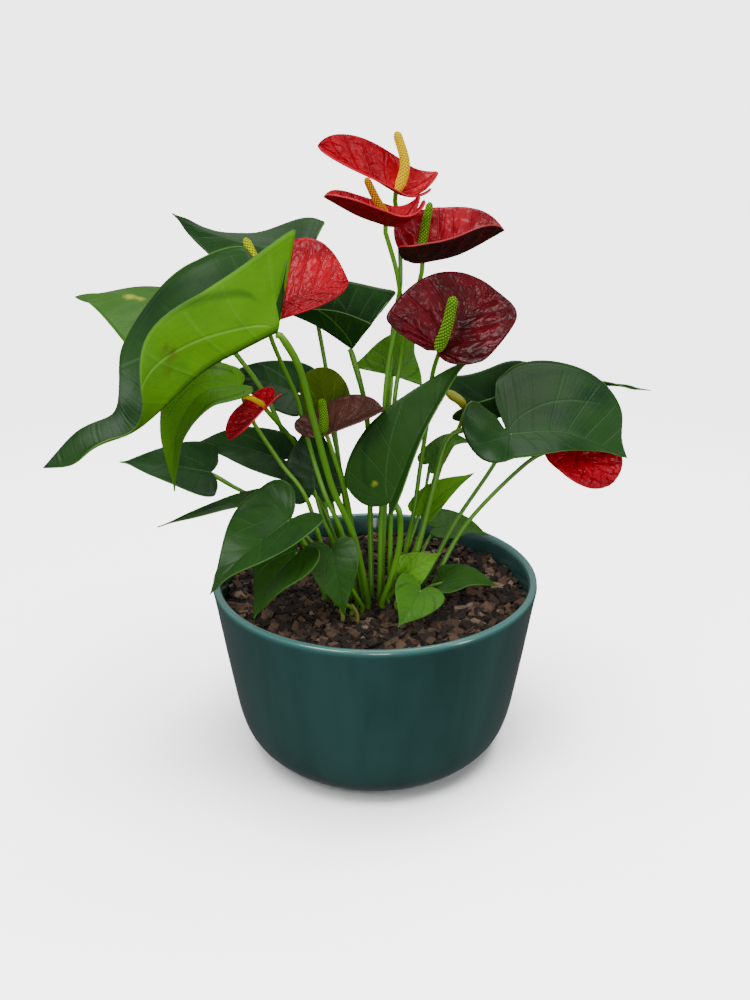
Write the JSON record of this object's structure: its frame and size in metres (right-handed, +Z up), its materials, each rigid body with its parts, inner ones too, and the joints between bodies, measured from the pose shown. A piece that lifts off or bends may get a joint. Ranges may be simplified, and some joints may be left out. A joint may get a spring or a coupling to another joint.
{
  "type": "potted anthurium",
  "caption": "Flamingo flower in a round glazed pot: glossy heart-shaped leaves and waxy spathes with a knobbly spadix, on thin stems rising from bark soil.",
  "frame": {"origin": "centre of the pot's base, on the surface that the pot stands on", "axes": "+Z up along the pot's axis; the camera of the picture looks along +Y; +X to the picture's right"},
  "size_m": [0.3742, 0.21, 0.39],
  "materials": {
    "glaze_teal": "glossy teal glaze",
    "soil_bark": "crumbly dark bark mix",
    "leaf_green": "glossy dark green, paler beneath",
    "stem_green": "satin yellow-green",
    "spathe_red": "waxy red",
    "spathe_maroon": "waxy maroon",
    "spathe_brown": "waxy brown-maroon",
    "spadix_green": "satin green florets",
    "spadix_yellow": "satin yellow florets",
    "spadix_orange": "satin orange florets",
    "bud_green": "satin yellow-green",
    "sheath_dry": "dull dry green"
  },
  "bodies": {
    "root": {"flower_brown_peduncle": "stem_green", "flower_brown_spadix": "spadix_green", "flower_brown_spathe": "spathe_brown", "flower_bud": "bud_green", "flower_cupped_peduncle": "stem_green", "flower_cupped_spadix": "spadix_green", "flower_cupped_spathe": "spathe_red", "flower_left_peduncle": "stem_green", "flower_left_spadix": "spadix_yellow", "flower_left_spathe": "spathe_red", "flower_maroon_peduncle": "stem_green", "flower_maroon_spadix": "spadix_green", "flower_maroon_spathe": "spathe_maroon", "flower_right_peduncle": "stem_green", "flower_right_spadix": "spadix_yellow", "flower_right_spathe": "spathe_red", "flower_second_peduncle": "stem_green", "flower_second_spadix": "spadix_orange", "flower_second_spathe": "spathe_red", "flower_top_peduncle": "stem_green", "flower_top_spadix": "spadix_yellow", "flower_top_spathe": "spathe_red", "flower_young_peduncle": "stem_green", "flower_young_spadix": "spadix_yellow", "flower_young_spathe": "spathe_red", "leaf_arrow_centre": "leaf_green", "leaf_back_left": "leaf_green", "leaf_back_right": "leaf_green", "leaf_back_top": "leaf_green", "leaf_behind_stems": "leaf_green", "leaf_broad_right": "leaf_green", "leaf_drooping_left": "leaf_green", "leaf_edge_on_left": "leaf_green", "leaf_folded_middle": "leaf_green", "leaf_front_left": "leaf_green", "leaf_front_low": "leaf_green", "leaf_front_middle": "leaf_green", "leaf_hooded_left": "leaf_green", "leaf_left_inner": "leaf_green", "leaf_left_outer": "leaf_green", "leaf_low_front_right": "leaf_green", "leaf_low_right": "leaf_green", "leaf_round_olive": "leaf_green", "leaf_shaded_left": "leaf_green", "leaf_small_back_right": "leaf_green", "leaf_small_right": "leaf_green", "leaf_upright_left": "leaf_green", "leaf_young_front": "leaf_green", "leaf_young_upright": "leaf_green", "pot": "glaze_teal", "sheath_green": "sheath_dry", "sheath_yellow": "sheath_dry", "soil": "soil_bark"}
  },
  "joints": []
}
